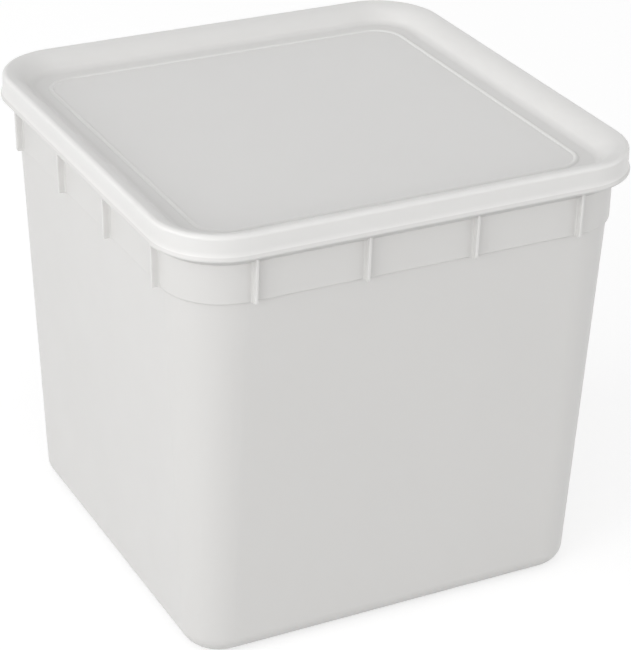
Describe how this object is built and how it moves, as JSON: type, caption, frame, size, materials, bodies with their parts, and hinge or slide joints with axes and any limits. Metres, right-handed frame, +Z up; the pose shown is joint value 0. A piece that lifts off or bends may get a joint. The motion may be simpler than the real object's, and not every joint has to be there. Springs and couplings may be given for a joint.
{
  "type": "ice cream tub",
  "caption": "Square plastic ice cream tub, shut with its rimmed push-on lid: tapered walls, a ribbed collar under the lid and a sunk lid panel for stacking.",
  "frame": {"origin": "middle of the underside, on the plane that the tub stands on", "axes": "+Z up, +X and +Y square to the four walls"},
  "size_m": [0.182, 0.182, 0.171],
  "materials": {
    "tub_plastic": "satin moulded white plastic, a little translucent",
    "lid_plastic": "satin moulded white plastic, a little translucent"
  },
  "bodies": {
    "root": {"tub": "tub_plastic", "lid": "lid_plastic"}
  },
  "joints": []
}
